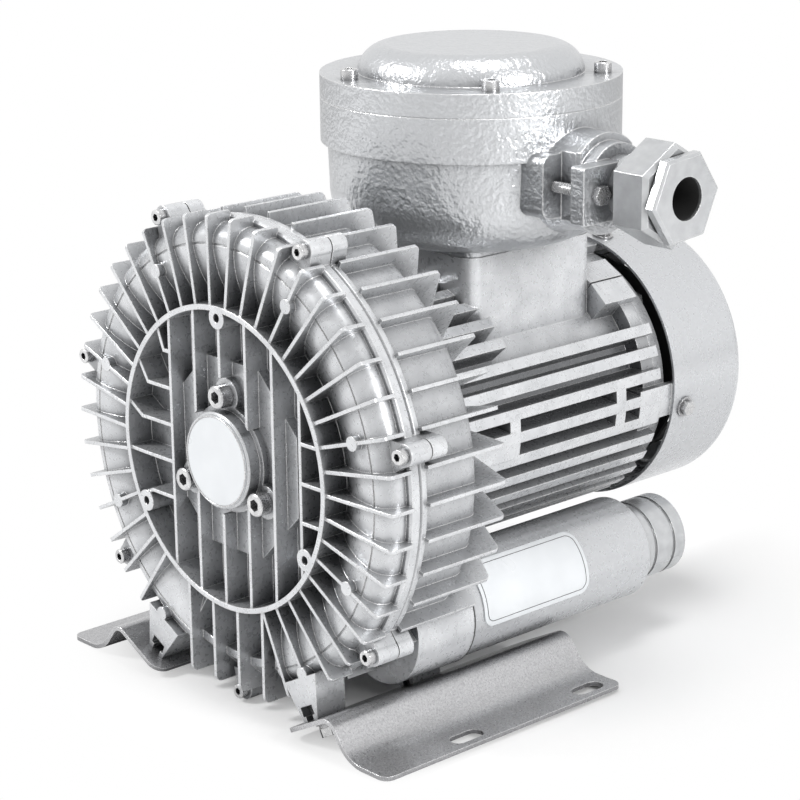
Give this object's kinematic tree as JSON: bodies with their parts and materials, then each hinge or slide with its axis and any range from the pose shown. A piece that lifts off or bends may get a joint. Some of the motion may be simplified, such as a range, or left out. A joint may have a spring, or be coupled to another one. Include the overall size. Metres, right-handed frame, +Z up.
{
  "type": "side channel blower",
  "caption": "Side channel blower with a finned casing and motor, a round terminal box with a cable gland, bent foot rails and underslung silencers.",
  "frame": {"origin": "on the shaft's axis, in the plane of the front cover's ring face", "axes": "+X to the right seen from the cover, where the cable gland is, +Y along the shaft from the cover to the fan cowl, +Z up, with the feet's floor at z = -143 mm"},
  "size_m": [0.306, 0.351, 0.3531],
  "materials": {
    "cast_silver": "satin silver paint on cast metal",
    "box_silver": "hammered silver paint on cast metal",
    "silencer_silver": "satin silver paint",
    "rail_steel": "speckled galvanised sheet",
    "zinc_steel": "bright zinc",
    "bare_aluminium": "machined",
    "lamination_steel": "oiled sheet stack",
    "copper_winding": "varnished wire",
    "shaft_steel": "ground",
    "bearing_steel": "polished",
    "black_rubber": "matt",
    "seal_fibre": "matt fibre sheet",
    "black_plastic": "matt",
    "grey_foam": "open-cell foam",
    "blank_plate": "smooth plate with no lettering",
    "board_plastic": "moulded"
  },
  "bodies": {
    "housing": {"front_cover": "cast_silver", "casing": "cast_silver", "cover_seal": "seal_fibre", "cover_screws": "zinc_steel", "bearing_cap": "cast_silver", "cap_screws": "zinc_steel", "badge_disc": "blank_plate", "left_foot_rail": "rail_steel", "right_foot_rail": "rail_steel", "foot_bolts": "zinc_steel", "foot_washers": "zinc_steel", "foot_nuts": "zinc_steel", "left_gasket": "black_rubber", "right_gasket": "black_rubber", "left_silencer": "silencer_silver", "right_silencer": "silencer_silver", "left_liner": "grey_foam", "right_liner": "grey_foam", "left_nozzle": "bare_aluminium", "right_nozzle": "bare_aluminium", "motor_frame": "cast_silver", "flange_screws": "zinc_steel", "stator_core": "lamination_steel", "stator_windings": "copper_winding", "front_bearing_outer": "bearing_steel", "rear_bearing_outer": "bearing_steel", "front_bearing_balls": "bearing_steel", "rear_bearing_balls": "bearing_steel", "shaft_seal": "black_rubber", "rear_end_shield": "cast_silver", "shield_screws": "zinc_steel", "fan_cowl": "silencer_silver", "cowl_washers": "zinc_steel", "cowl_screws": "zinc_steel", "terminal_box": "box_silver", "box_screws": "zinc_steel", "terminal_lid": "box_silver", "lid_screws": "zinc_steel", "terminal_board": "board_plastic", "terminal_studs": "zinc_steel", "gland_flange": "box_silver", "gland_screws": "zinc_steel", "gland_body": "bare_aluminium", "gland_seal": "black_rubber", "gland_cap": "bare_aluminium", "label_plate": "blank_plate"},
    "rotor": {"shaft": "shaft_steel", "impeller_key": "shaft_steel", "impeller": "bare_aluminium", "shaft_nut": "zinc_steel", "rotor_core": "lamination_steel", "front_bearing_inner": "bearing_steel", "rear_bearing_inner": "bearing_steel", "cooling_fan": "black_plastic", "fan_clip": "zinc_steel"}
  },
  "joints": [
    {"name": "rotor_spin", "type": "hinge", "parent": "housing", "child": "rotor", "pos_m": [0, 0, 0], "axis": [0, 1, 0], "continuous": true}
  ]
}
